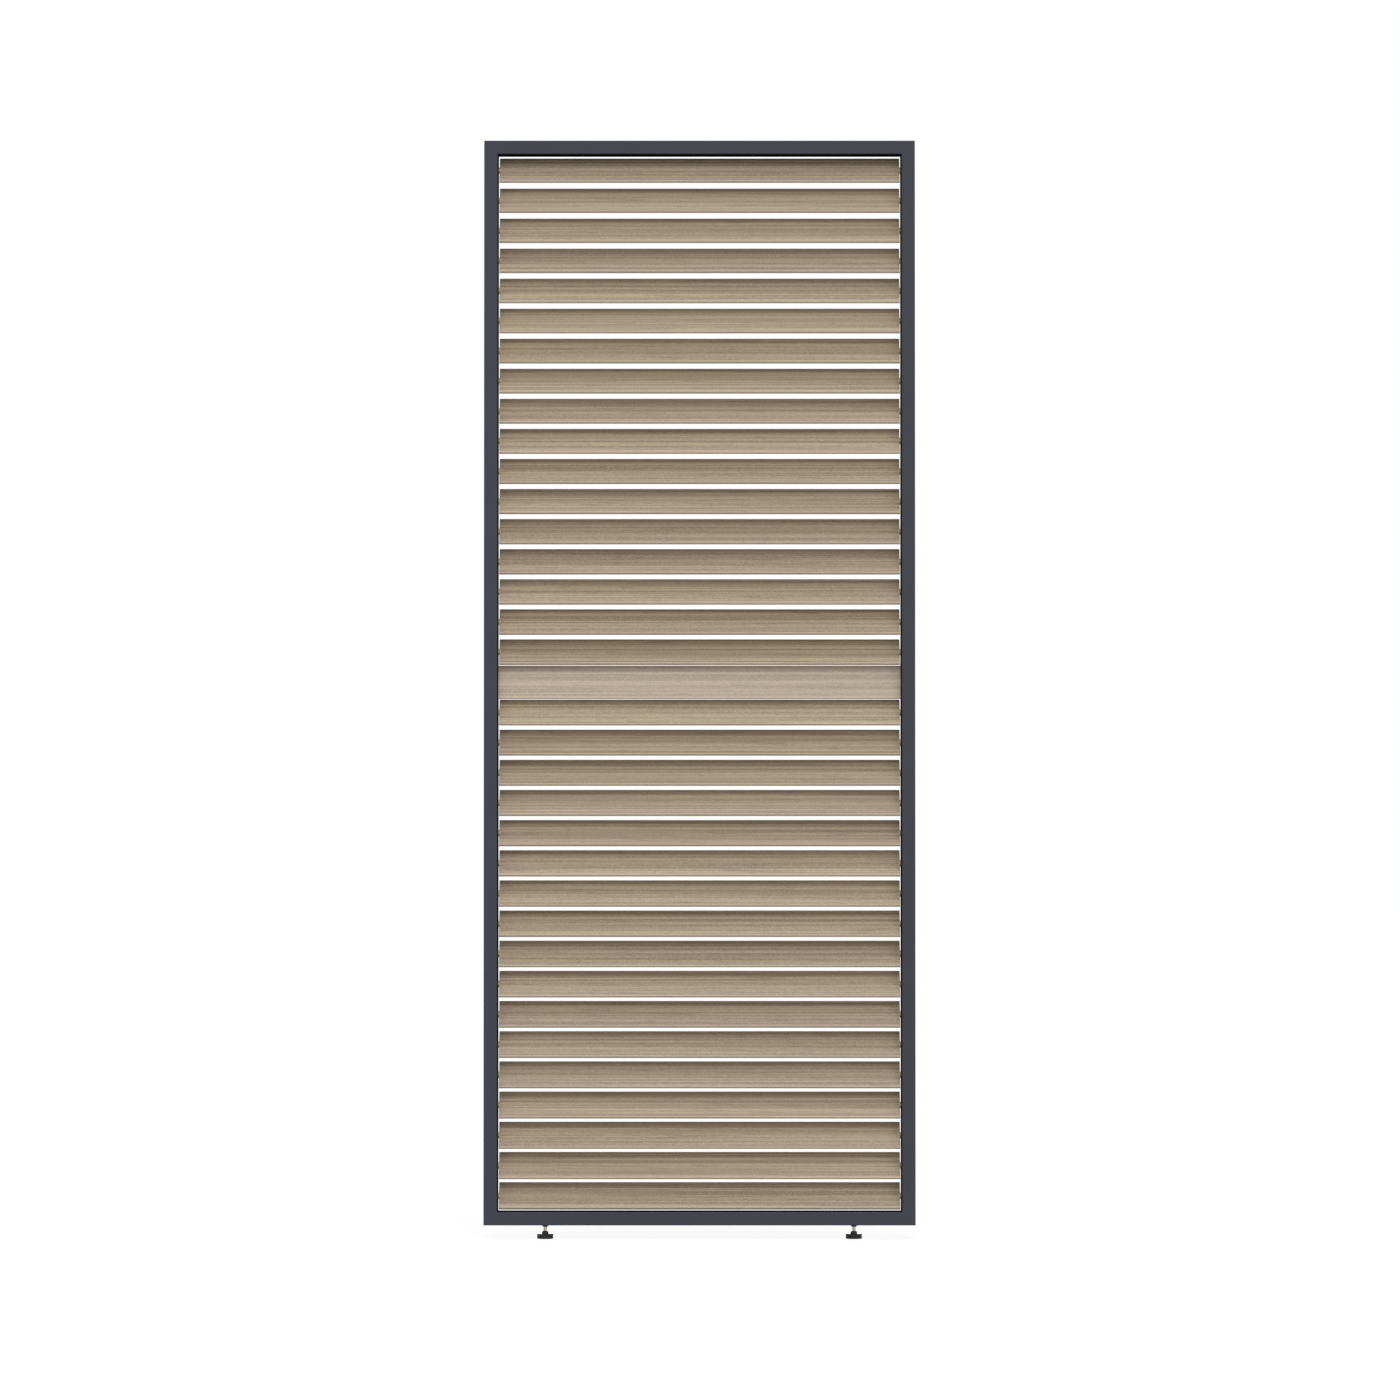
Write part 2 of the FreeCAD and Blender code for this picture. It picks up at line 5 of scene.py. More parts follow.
import bpy
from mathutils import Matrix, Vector


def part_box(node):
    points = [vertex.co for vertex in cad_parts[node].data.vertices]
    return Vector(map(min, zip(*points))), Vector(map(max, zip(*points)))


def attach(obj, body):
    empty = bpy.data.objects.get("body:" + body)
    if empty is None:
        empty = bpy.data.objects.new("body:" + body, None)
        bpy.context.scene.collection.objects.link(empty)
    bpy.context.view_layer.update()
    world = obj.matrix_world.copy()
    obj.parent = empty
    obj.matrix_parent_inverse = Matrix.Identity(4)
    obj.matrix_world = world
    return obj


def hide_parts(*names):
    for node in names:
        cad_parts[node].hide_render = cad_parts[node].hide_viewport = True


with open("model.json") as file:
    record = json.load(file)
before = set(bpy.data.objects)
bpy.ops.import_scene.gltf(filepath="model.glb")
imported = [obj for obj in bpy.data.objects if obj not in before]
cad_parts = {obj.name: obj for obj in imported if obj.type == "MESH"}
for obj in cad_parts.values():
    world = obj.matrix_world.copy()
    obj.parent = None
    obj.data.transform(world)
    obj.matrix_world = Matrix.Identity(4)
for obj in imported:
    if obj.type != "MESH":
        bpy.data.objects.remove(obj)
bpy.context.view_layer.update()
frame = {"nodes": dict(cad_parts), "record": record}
nodes = frame["nodes"]
behaviour = frame["record"]["behaviour"]

MM = 0.001

# Slats, in millimetres
SLAT_CHORD = 70.0
FIXED_CHORD = 72.0
SLAT_THICKNESS = 8.0
SLAT_CORNER = 2.8
SLAT_END_GAP = 3.65
CAVITY_DEPTH = 5.2
CAVITY_CORNER = 0.6
PLUG_RECESS = 0.4
PLUG_DEPTH = 3.0
OUTSIDE_HOLD = 0.5
MOUTH_HOLD = 0.2
REST_TILT = math.radians(39.5)
CLOSED_TILT = math.radians(7.5)

# Tones of the slats: the seed of the draws, and the share of the palest tone that a draw can reach
TONE_SEED = 11
MOST_PALE = 0.3

# Journals and levers on the slat ends, in millimetres
JOURNAL_RADIUS = 6.95
JOURNAL_CHAMFER = 0.5
LEVER_THICKNESS = 3.0
LEVER_RADIUS = 14.0
LEVER_HEAD_RADIUS = 3.5
LEVER_NECK = 1.45
LEVER_ANGLE = math.radians(48.75)

# Slot in the inner sides of the frame, in millimetres, and the least cosine at which a face counts as
# looking along a direction
SLOT_REACH = 22.0
SLOT_DEPTH = 10.0
FACING = 0.95

# Levelling feet, in millimetres
PAD_HEIGHT = 11.0
PAD_RIBS = 24
RIB_DEPTH = 0.4
RIB_END_DEPTH = 0.15
NECK_FLATS = 12.6
NECK_TOP_FLATS = 8.6
NECK_TAPER = 2.8
NECK_CORNER = 7.05
NECK_FOOT_CORNER = 7.6
THREAD_PITCH = 1.25
THREAD_DEPTH = 0.6
NUT_FLATS = 13.0
NUT_TIP_FLATS = 9.8
NUT_BORE = 4.1
NUT_CHAMFER = 0.5
NUT_CORNER = 7.1

# Six-sided tapers: how strongly they round over, and the corner radius for each millimetre across flats
TAPER_CURVE = 1.6
TAPER_CORNER = 0.56

# Edges flatter than this are shaded smooth
SMOOTH_ANGLE = math.radians(35.0)

# Points round the curves
CORNER_STEPS = 6
JOURNAL_STEPS = 40
LEVER_HEAD_STEPS = 20
TAPER_STEPS = 5
PAD_STEPS = 192
NUT_STEPS = 96
STUD_STEPS = 36
STUD_ROWS_PER_TURN = 8

# Studio and camera, in metres, degrees and, for the lens, millimetres
FLOOR_REACH = 60.0
SUN_DISTANCE = 6.0
SENSOR_WIDTH = 36.0
LENS = 162.66
CAMERA_PLACE = (0.001, -13.63, 0.857)
CAMERA_TIP = 1.269


def box_mm(node):
    """Lowest and highest corners of a node, in millimetres."""
    low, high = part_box(node)
    return Vector(low) / MM, Vector(high) / MM


# Shader helpers

def add_node(tree, kind, **settings):
    """A new node in a tree, with its settings."""
    made = tree.nodes.new(kind)
    for name, setting in settings.items():
        setattr(made, name, setting)
    return made


class Shader:
    """A node material: makes nodes, joins them and sets values on their sockets."""

    def __init__(self, name):
        self.material = bpy.data.materials.new(name)
        self.material.use_nodes = True
        self.tree = self.material.node_tree
        self.surface = self.tree.nodes["Principled BSDF"]

    def node(self, kind, **settings):
        return add_node(self.tree, kind, **settings)

    def link(self, source, target):
        self.tree.links.new(source, target)

    def drive(self, name, source):
        """Joins a value to an input of the surface shader."""
        self.link(source, self.surface.inputs[name])

    def set(self, **values):
        """Sets constant inputs of the surface shader."""
        for name, value in values.items():
            self.surface.inputs[name.replace("_", " ")].default_value = value

    def position(self):
        """Place on the piece, in its own axes."""
        return self.node("ShaderNodeTexCoord").outputs["Object"]

    def scaled(self, source, scale):
        """A vector multiplied part by part."""
        made = self.node("ShaderNodeVectorMath", operation="MULTIPLY")
        self.link(source, made.inputs[0])
        made.inputs[1].default_value = scale
        return made.outputs[0]

    def turned(self, source, angle):
        """A place turned about Y."""
        made = self.node("ShaderNodeVectorRotate", rotation_type="Y_AXIS")
        self.link(source, made.inputs["Vector"])
        made.inputs["Angle"].default_value = angle
        return made.outputs["Vector"]

    def added(self, first, second):
        made = self.node("ShaderNodeVectorMath", operation="ADD")
        self.link(first, made.inputs[0])
        self.link(second, made.inputs[1])
        return made.outputs[0]

    def math(self, operation, source, value=0.0):
        made = self.node("ShaderNodeMath", operation=operation)
        self.link(source, made.inputs[0])
        made.inputs[1].default_value = value
        return made.outputs[0]

    def parts(self, vector):
        """The three parts of a vector or colour."""
        made = self.node("ShaderNodeSeparateXYZ")
        self.link(vector, made.inputs[0])
        return made.outputs

    def noise(self, vector, scale=1.0, detail=4.0, roughness=0.55, distortion=0.0):
        made = self.node("ShaderNodeTexNoise")
        self.link(vector, made.inputs["Vector"])
        made.inputs["Scale"].default_value = scale
        made.inputs["Detail"].default_value = detail
        made.inputs["Roughness"].default_value = roughness
        made.inputs["Distortion"].default_value = distortion
        return made.outputs["Fac"]

    def contours(self, value, count):
        """Distance to the nearest of a number of evenly spaced levels of a value."""
        return self.math("PINGPONG", self.math("MULTIPLY", value, count), 0.5)

    def spread(self, value, low, high, to_low, to_high):
        """A value's range mapped onto another range, clamped."""
        made = self.node("ShaderNodeMapRange")
        self.link(value, made.inputs["Value"])
        made.inputs["From Min"].default_value = low
        made.inputs["From Max"].default_value = high
        made.inputs["To Min"].default_value = to_low
        made.inputs["To Max"].default_value = to_high
        return made.outputs["Result"]

    def ramp(self, value, stops):
        made = self.node("ShaderNodeValToRGB")
        self.link(value, made.inputs["Fac"])
        band = made.color_ramp
        while len(band.elements) < len(stops):
            band.elements.new(0.5)
        for element, (place, colour) in zip(band.elements, stops):
            element.position = place
            element.color = (*colour, 1.0)
        return made.outputs["Color"]

    def mixed(self, factor, base, colour, blend="MIX"):
        """A colour laid over a base by a factor."""
        made = self.node("ShaderNodeMix", data_type="RGBA", blend_type=blend)
        self.link(factor, made.inputs["Factor"])
        self.link(base, made.inputs[6])
        made.inputs[7].default_value = (*colour, 1.0)
        return made.outputs[2]

    def bump(self, height, distance, strength):
        made = self.node("ShaderNodeBump")
        self.link(height, made.inputs["Height"])
        made.inputs["Strength"].default_value = strength
        made.inputs["Distance"].default_value = distance
        self.drive("Normal", made.outputs["Normal"])


# Materials

def wood_film():
    """Wood-look film: soft bands, slanting streaks, fine stripes, thin lines, fibres and a painted
    highlight along both long edges.
    """
    shader = Shader("wood_film")
    position = shader.position()
    tint = shader.node("ShaderNodeObjectInfo").outputs["Color"]
    # Each slat shows another stretch of the pattern
    apart = (9.0, 0.5, 1.7)
    shifted = shader.added(position, shader.scaled(tint, apart))
    leaning = shader.turned(shifted, math.radians(-3.0))

    # Patterns drawn out along the slat; each scale is per metre of its length, thickness and width
    bands = shader.noise(shader.scaled(shifted, (0.55, 15.0, 88.0)), detail=3.0, distortion=0.1)
    streaks = shader.noise(shader.scaled(leaning, (13.0, 60.0, 185.0)), detail=3.0, distortion=0.6)
    growth = shader.noise(shader.scaled(shifted, (0.6, 14.0, 70.0)), detail=1.0)
    stripes = shader.noise(shader.scaled(shifted, (0.7, 30.0, 230.0)), detail=1.0)
    fibre = shader.noise(shader.scaled(shifted, (120.0, 300.0, 900.0)), detail=3.0, roughness=0.6)
    pores = shader.noise(shader.scaled(shifted, (260.0, 400.0, 420.0)), detail=2.0)

    streak_brown = (0.225, 0.166, 0.114)
    streak_cream = (0.490, 0.402, 0.292)
    stripe_brown = (0.250, 0.186, 0.128)
    stripe_cream = (0.520, 0.424, 0.296)
    line_brown = (0.200, 0.146, 0.100)
    fibre_brown = (0.240, 0.182, 0.128)
    pore_cream = (0.540, 0.440, 0.320)
    # Cream of the painted highlight on the long edges
    edge_highlight_cream = (0.64, 0.545, 0.43)
    colour = shader.ramp(
        bands,
        [
            (0.30, (0.300, 0.228, 0.161)),
            (0.42, (0.372, 0.290, 0.206)),
            (0.50, (0.372, 0.288, 0.206)),
            (0.58, (0.440, 0.354, 0.240)),
            (0.72, (0.474, 0.382, 0.266)),
        ],
    )
    colour = shader.mixed(shader.spread(streaks, 0.57, 0.66, 0.0, 0.54), colour, streak_brown)
    colour = shader.mixed(shader.spread(streaks, 0.44, 0.30, 0.0, 0.22), colour, streak_cream)
    colour = shader.mixed(shader.spread(stripes, 0.50, 0.34, 0.0, 0.86), colour, stripe_brown)
    colour = shader.mixed(shader.spread(stripes, 0.52, 0.68, 0.0, 0.64), colour, stripe_cream)
    lines = shader.contours(growth, 5.0)
    colour = shader.mixed(shader.spread(lines, 0.0, 0.09, 0.60, 0.0), colour, line_brown)
    colour = shader.mixed(shader.spread(fibre, 0.32, 0.54, 0.54, 0.0), colour, fibre_brown)
    colour = shader.mixed(shader.spread(pores, 0.46, 0.68, 0.0, 0.42), colour, pore_cream)

    # Painted highlight: the film is painted a little paler round the two long rounded edges, standing in
    # for the light that catches them
    edge = shader.math("ABSOLUTE", shader.parts(position)[2])
    nose = SLAT_CHORD / 2 - SLAT_CORNER
    edge_highlight = shader.spread(edge, (nose - 0.4) * MM, (nose + 1.0) * MM, 0.0, 0.40)
    colour = shader.mixed(edge_highlight, colour, edge_highlight_cream)

    # Each slat is a little darker, yellower or paler than its neighbours; the paler mix at its fullest is
    # painted light on the upright middle slat
    depth, hue, pale = shader.parts(tint)[:3]
    darker = (0.875, 0.870, 0.865)
    yellower = (0.970, 0.990, 0.920)
    paler_tone_and_light = (0.62, 0.55, 0.46)
    colour = shader.mixed(depth, colour, darker, "MULTIPLY")
    colour = shader.mixed(shader.spread(hue, 0.0, 1.0, 0.0, 0.6), colour, yellower, "MULTIPLY")
    colour = shader.mixed(shader.spread(pale, 0.0, 1.0, 0.0, 0.17), colour, paler_tone_and_light)

    shader.drive("Base Color", colour)
    shader.drive("Roughness", shader.spread(fibre, 0.25, 0.75, 0.48, 0.36))
    shader.bump(fibre, distance=0.06 * MM, strength=0.6)
    shader.set(Specular_IOR_Level=0.35)
    return shader.material


def powder_coat(name, dark, light, roughness, gloss):
    """A coat with a very fine grain and a faint unevenness of tone."""
    shader = Shader(name)
    position = shader.position()
    cloud = shader.noise(position, 7.0, detail=3.0)
    grain = shader.noise(position, 2200.0, detail=2.0)
    speck = shader.noise(position, 900.0, detail=2.0)
    tone = shader.ramp(cloud, [(0.30, dark), (0.72, light)])
    speck_light = [part * 1.4 for part in light]
    speckled = shader.mixed(shader.spread(speck, 0.40, 0.65, 0.0, 0.16), tone, speck_light)
    shader.drive("Base Color", speckled)
    shader.drive("Roughness", shader.spread(speck, 0.3, 0.7, roughness - 0.06, roughness + 0.06))
    shader.bump(grain, distance=0.04 * MM, strength=0.5)
    shader.set(Specular_IOR_Level=gloss)
    return shader.material


def moulded_plastic(name, dark, light, roughness, gloss):
    """Moulded plastic with a soft sheen, faint flow marks and a fine eroded texture; on the pads the pale
    flow patches are partly painted highlights.
    """
    shader = Shader(name)
    position = shader.position()
    flow = shader.noise(shader.scaled(position, (60.0, 60.0, 14.0)), roughness=0.6, distortion=0.8)
    grain = shader.noise(position, 1500.0, detail=3.0)
    shader.drive("Base Color", shader.ramp(flow, [(0.32, dark), (0.70, light)]))
    shader.drive("Roughness", shader.spread(grain, 0.3, 0.7, roughness - 0.07, roughness + 0.07))
    shader.bump(grain, distance=0.04 * MM, strength=0.5)
    shader.set(Specular_IOR_Level=gloss)
    return shader.material


def bare_metal(name, dark, light, roughness, stretch):
    """Plain metal with lines along one axis and dull patches; faint lines are drawing lines, and the
    strong tan-to-white lines on the studs are painted reflections.
    """
    shader = Shader(name)
    position = shader.position()
    lines = shader.noise(shader.scaled(position, stretch), roughness=0.6)
    patch = shader.noise(position, 45.0, detail=3.0)
    shader.drive("Base Color", shader.ramp(lines, [(0.30, dark), (0.70, light)]))
    shader.drive("Roughness", shader.spread(patch, 0.3, 0.7, roughness - 0.08, roughness + 0.12))
    shader.bump(lines, distance=0.03 * MM, strength=0.4)
    shader.set(Metallic=1.0)
    return shader.material


WOOD = wood_film()
COATING = powder_coat(
    "anthracite_coat",
    dark=(0.0370, 0.0410, 0.0530),
    light=(0.0416, 0.0456, 0.0584),
    roughness=0.55,
    gloss=0.18,
)
NUT_BLACK = powder_coat(
    "black_nut_coat",
    dark=(0.005, 0.005, 0.007),
    light=(0.009, 0.009, 0.011),
    roughness=0.36,
    gloss=0.2,
)
CHANNEL = moulded_plastic(
    "channel_plastic",
    dark=(0.006, 0.006, 0.006),
    light=(0.010, 0.010, 0.010),
    roughness=0.75,
    gloss=0.0,
)
PLUG = moulded_plastic(
    "plug_plastic",
    dark=(0.34, 0.255, 0.175),
    light=(0.43, 0.335, 0.235),
    roughness=0.5,
    gloss=0.4,
)
# The pads' pale flow patches are flow marks and painted highlights together: they stand in for glints on
# the glossy black
FOOT = moulded_plastic(
    "foot_plastic",
    dark=(0.003, 0.003, 0.004),
    light=(0.026, 0.025, 0.024),
    roughness=0.24,
    gloss=0.16,
)
# The strong tan-to-white streaks down the studs are painted reflections, standing in for the bright and
# tan glints on the plated thread
ZINC = bare_metal(
    "zinc_thread",
    dark=(0.36, 0.28, 0.20),
    light=(0.95, 0.94, 0.91),
    roughness=0.22,
    stretch=(330.0, 330.0, 25.0),
)
ALUMINIUM = bare_metal(
    "mill_aluminium",
    dark=(0.60, 0.61, 0.62),
    light=(0.74, 0.75, 0.76),
    roughness=0.38,
    stretch=(900.0, 900.0, 12.0),
)
STEEL = bare_metal(
    "plated_steel",
    dark=(0.46, 0.46, 0.47),
    light=(0.62, 0.62, 0.63),
    roughness=0.34,
    stretch=(60.0, 700.0, 700.0),
)

SLOT_MATERIALS = {
    "frame_coating": COATING,
    "slat_finish": WOOD,
    "channel_plastic": CHANNEL,
    "plug_plastic": PLUG,
    "bare_aluminium": ALUMINIUM,
    "nut_block_steel": STEEL,
    "lock_nut_black": NUT_BLACK,
    "stud_zinc": ZINC,
    "foot_plastic": FOOT,
}
for entry in frame["record"]["subparts"]:
    mesh = nodes[entry["node"]].data
    mesh.materials.clear()
    mesh.materials.append(SLOT_MATERIALS[entry["material_slot"]])

# The sides of the frame that look into the opening, and the slot in them, are coloured black with the
# channel plastic material
INWARD = {
    "left_stile": Vector((1, 0, 0)),
    "right_stile": Vector((-1, 0, 0)),
    "top_rail": Vector((0, 0, -1)),
    "bottom_rail": Vector((0, 0, 1)),
}
for name, inward in INWARD.items():
    mesh = nodes[name].data
    mesh.materials.append(CHANNEL)
    reach = max(point.co.dot(inward) for point in mesh.vertices)
    for polygon in mesh.polygons:
        in_slot = abs(polygon.center.y) < SLOT_REACH * MM and abs(polygon.normal.y) > FACING
        near_opening = reach - polygon.center.dot(inward) < SLOT_DEPTH * MM
        if polygon.normal.dot(inward) > FACING or in_slot and near_opening:
            polygon.material_index = 1


# Mesh helpers

class MeshMaker:
    """Collects points in millimetres and faces, each with a material number."""

    def __init__(self):
        self.points = []
        self.faces = []
        self.numbers = []

    def ring(self, points):
        start = len(self.points)
        self.points += points
        return list(range(start, len(self.points)))

    def face(self, corners, number=0):
        self.faces.append(corners)
        self.numbers.append(number)

    def bridge(self, first, second, number):
        """Quads from one closed ring to the next."""
        count = len(first)
        for i in range(count):
            j = (i + 1) % count
            self.face([first[i], first[j], second[j], second[i]], number)

    def loft(self, rings, number=0, closed=True):
        """Quads through a row of rings, with a face at each end unless the row is left open."""
        for first, second in zip(rings, rings[1:]):
            self.bridge(first, second, number)
        if closed:
            self.face(rings[0][::-1], number)
            self.face(rings[-1], number)

    def mesh(self, name, materials):
        made = bpy.data.meshes.new(name)
        made.from_pydata([Vector(p) * MM for p in self.points], [], self.faces)
        for material in materials:
            made.materials.append(material)
        made.polygons.foreach_set("material_index", self.numbers)
        made.polygons.foreach_set("use_smooth", [True] * len(made.polygons))
        made.set_sharp_from_angle(angle=SMOOTH_ANGLE)
        made.update()
        return made


def place(name, mesh, body, replaced, slot, location=(0.0, 0.0, 0.0), tilt=0.0):
    """Puts a mesh in the scene as the look of a node."""
    piece = bpy.data.objects.new(name, mesh)
    bpy.context.scene.collection.objects.link(piece)
    piece.location = Vector(location) * MM
    piece.rotation_euler = (-tilt, 0.0, 0.0)
    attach(piece, body)
    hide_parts(replaced)
    return piece


# Slats

def rounded_section(thickness, chord, corner, hold):
    """Points (y, z) round a rectangle with rounded corners, with a point on each flat beside each arc.

    hold is how far that point lies from the arc; it keeps the shading of the flats even.
    """
    points = []
    for quarter, (side_y, side_z) in enumerate(((1, 1), (-1, 1), (-1, -1), (1, -1))):
        centre_y = side_y * (thickness / 2 - corner)
        centre_z = side_z * (chord / 2 - corner)
        angles = [math.radians(90.0 * (quarter + i / CORNER_STEPS)) for i in range(CORNER_STEPS + 1)]
        arc = [(centre_y + corner * math.cos(a), centre_z + corner * math.sin(a)) for a in angles]
        run_y = -hold * math.sin(angles[0])
        run_z = hold * math.cos(angles[0])
        points.append((arc[0][0] - run_y, arc[0][1] - run_z))
        points += arc
        points.append((arc[-1][0] - run_z, arc[-1][1] + run_y))
    return points


def along_x(maker, x, section):
    """A section's points (y, z) as a ring at a place along X."""
    return maker.ring([(x, y, z) for y, z in section])


def add_blade(maker, half_length, chord):
    """A hollow extrusion along X, closed by a plug face set back in each end."""
    outside = rounded_section(SLAT_THICKNESS, chord, SLAT_CORNER, OUTSIDE_HOLD)
    mouth = rounded_section(CAVITY_DEPTH, chord - SLAT_THICKNESS, CAVITY_CORNER, MOUTH_HOLD)
    inset = half_length - PLUG_RECESS
    right_plug = along_x(maker, inset, mouth)
    right_mouth = along_x(maker, half_length, mouth)
    right_end = along_x(maker, half_length, outside)
    left_end = along_x(maker, -half_length, outside)
    left_mouth = along_x(maker, -half_length, mouth)
    left_plug = along_x(maker, -inset, mouth)
    maker.loft([right_plug, right_mouth, right_end, left_end, left_mouth, left_plug], closed=False)
    maker.face(right_plug, 1)
    maker.face(left_plug[::-1], 1)


def circle_points(x, radius):
    angles = [2 * math.pi * i / JOURNAL_STEPS for i in range(JOURNAL_STEPS)]
    return [(x, radius * math.cos(a), radius * math.sin(a)) for a in angles]


def add_journal(maker, start, end):
    """A round boss from inside a slat's end into its seat, with a chamfered tip."""
    sign = math.copysign(1, end)
    tip = JOURNAL_RADIUS - JOURNAL_CHAMFER
    stations = [(start, JOURNAL_RADIUS), (end - sign * JOURNAL_CHAMFER, JOURNAL_RADIUS), (end, tip)]
    if sign < 0:
        stations.reverse()
    maker.loft([maker.ring(circle_points(x, radius)) for x, radius in stations], 1)


def add_lever(maker, start):
    """The flat arm with a round head that the tilt bar moves."""
    neck = math.asin(LEVER_NECK / LEVER_HEAD_RADIUS)
    sweep = 2 * (math.pi - neck)
    angles = [neck - math.pi + sweep * i / LEVER_HEAD_STEPS for i in range(LEVER_HEAD_STEPS + 1)]
    head = [
        (LEVER_RADIUS + LEVER_HEAD_RADIUS * math.cos(a), LEVER_HEAD_RADIUS * math.sin(a)) for a in angles
    ]
    outline = [(0.0, -LEVER_NECK)] + head + [(0.0, LEVER_NECK)]
    cos = math.cos(LEVER_ANGLE)
    sin = math.sin(LEVER_ANGLE)
    turned = [(a * cos - b * sin, a * sin + b * cos) for a, b in outline]
    maker.loft([along_x(maker, x, turned) for x in (start, start + LEVER_THICKNESS)], 1)


def tilting_slat_mesh():
    slat_low, slat_high = box_mm("upper_slat_01")
    half_length = box_mm("right_stile")[0].x - SLAT_END_GAP
    lever_start = slat_high.x - LEVER_THICKNESS
    maker = MeshMaker()
    add_blade(maker, half_length, SLAT_CHORD)
    add_journal(maker, PLUG_DEPTH - half_length, slat_low.x)
    add_journal(maker, half_length - PLUG_DEPTH, lever_start)
    add_lever(maker, lever_start)
    return maker.mesh("tilting_slat", [WOOD, PLUG])


def fixed_slat_mesh(half_length):
    maker = MeshMaker()
    add_blade(maker, half_length, FIXED_CHORD)
    return maker.mesh("fixed_slat", [WOOD, PLUG])


slat_mesh = tilting_slat_mesh()
tones = random.Random(TONE_SEED)
for joint in behaviour["joints"]:
    if joint["type"] == "hinge":
        body = joint["child"]
        pivot = Vector(joint["pos_m"]) / MM
        middle = (0.0, pivot.y, pivot.z)
        slat = place(f"{body}_look", slat_mesh, body, body, "slat_finish", middle, REST_TILT)
        slat.color = (tones.random(), tones.random(), MOST_PALE * tones.random(), 1.0)

fixed_low, fixed_high = box_mm("fixed_mid_slat")
fixed = place(
    "fixed_mid_slat_look",
    fixed_slat_mesh(fixed_high.x),
    "frame",
    "fixed_mid_slat",
    "slat_finish",
    (fixed_low + fixed_high) / 2,
    CLOSED_TILT,
)
# The middle slat is the palest: painted light, standing in for the extra light that falls on its upright
# face
fixed.color = (0.0, 0.0, 1.0, 1.0)


# Levelling feet

def hexagon(flats, limit):
    """Radius of a hexagon at an angle, with its corners turned down to a limit."""
    step = math.radians(60.0)

    def radius(angle):
        return min(flats / 2 / math.cos(angle % step - step / 2), limit)

    return radius


def ribbed(radius, depth):
    """Radius of a rim with shallow flutes."""
    return lambda angle: radius - depth * (0.5 + 0.5 * math.cos(PAD_RIBS * angle)) ** 3


def turned_rings(maker, rows, centre, count):
    """Rings about a vertical axis; a row is a height and a radius, or a radius for each angle."""
    angles = [2 * math.pi * i / count for i in range(count)]
    rings = []
    for height, radius in rows:
        radii = [radius(a) if callable(radius) else radius for a in angles]
        ring = [(centre + r * math.cos(a), r * math.sin(a), height) for a, r in zip(angles, radii)]
        rings.append(maker.ring(ring))
    return rings


def hexagonal_taper(bottom, bottom_flats, top, top_flats):
    """Rows of a six-sided taper that rounds over a little towards its narrow end."""
    rows = []
    for i in range(TAPER_STEPS + 1):
        part = i / TAPER_STEPS
        narrows_upwards = top_flats < bottom_flats
        change = part ** TAPER_CURVE if narrows_upwards else 1 - (1 - part) ** TAPER_CURVE
        flats = bottom_flats + (top_flats - bottom_flats) * change
        rows.append((bottom + (top - bottom) * part, hexagon(flats, TAPER_CORNER * flats)))
    return rows


def pad_mesh(name, centre, radius, neck_top):
    """Moulded pad: fluted rim with rounded edges, faintly dished top and a six-sided tapered neck."""
    lower_edge = [
        (0.0, radius - 1.1),
        (0.25, radius - 0.6),
        (0.9, radius - 0.35),
        (1.6, radius - 0.35),
    ]
    rim = [
        (1.8, ribbed(radius, RIB_END_DEPTH)),
        (2.3, ribbed(radius, RIB_DEPTH)),
        (PAD_HEIGHT - 1.9, ribbed(radius, RIB_DEPTH)),
        (PAD_HEIGHT - 1.3, ribbed(radius - 0.03, RIB_END_DEPTH)),
    ]
    upper_edge = [
        (PAD_HEIGHT - 0.8, radius - 0.12),
        (PAD_HEIGHT - 0.35, radius - 0.45),
        (PAD_HEIGHT - 0.1, radius - 0.95),
        (PAD_HEIGHT, radius - 1.6),
    ]
    dish = [(PAD_HEIGHT - 0.25, radius - 5.0), (PAD_HEIGHT - 0.2, radius - 9.0)]
    neck = [
        (PAD_HEIGHT, hexagon(NECK_FLATS + 0.6, NECK_FOOT_CORNER)),
        (PAD_HEIGHT + 0.3, hexagon(NECK_FLATS, NECK_CORNER)),
    ]
    neck += hexagonal_taper(neck_top - NECK_TAPER, NECK_FLATS, neck_top, NECK_TOP_FLATS)
    maker = MeshMaker()
    maker.loft(turned_rings(maker, lower_edge + rim + upper_edge + dish + neck, centre, PAD_STEPS))
    return maker.mesh(name, [FOOT])


def stud_mesh(name, centre, radius, bottom, top):
    """A stud with a helical thread that fades out at its upper end."""
    rows = int((top - bottom) / THREAD_PITCH * STUD_ROWS_PER_TURN)
    maker = MeshMaker()
    rings = []
    for row in range(rows + 1):
        height = bottom + (top - bottom) * row / rows
        fade = min(1.0, (top - height) / THREAD_PITCH)
        ring = []
        for i in range(STUD_STEPS):
            phase = (height / THREAD_PITCH - i / STUD_STEPS) % 1.0
            # Flat crests and roots with slanting flanks between them
            crest = min(1.0, max(0.0, 1.25 - abs(2 * phase - 1) * 1.5)) * fade
            angle = 2 * math.pi * i / STUD_STEPS
            reach = radius - THREAD_DEPTH * (1 - crest)
            ring.append((centre + reach * math.cos(angle), reach * math.sin(angle), height))
        rings.append(maker.ring(ring))
    maker.loft(rings)
    return maker.mesh(name, [ZINC])


def add_nut(maker, centre, bottom, top):
    """A lock nut that narrows towards the stud, with a chamfered bore."""
    rows = [(bottom + NUT_CHAMFER, NUT_BORE), (bottom, NUT_BORE + 0.4)]
    rows += hexagonal_taper(bottom, NUT_TIP_FLATS, top - NUT_CHAMFER, NUT_FLATS)
    rows += [(top, hexagon(NUT_FLATS - 0.3, NUT_CORNER)), (top, NUT_BORE)]
    rings = turned_rings(maker, rows, centre, NUT_STEPS)
    maker.loft(rings + rings[:1], closed=False)


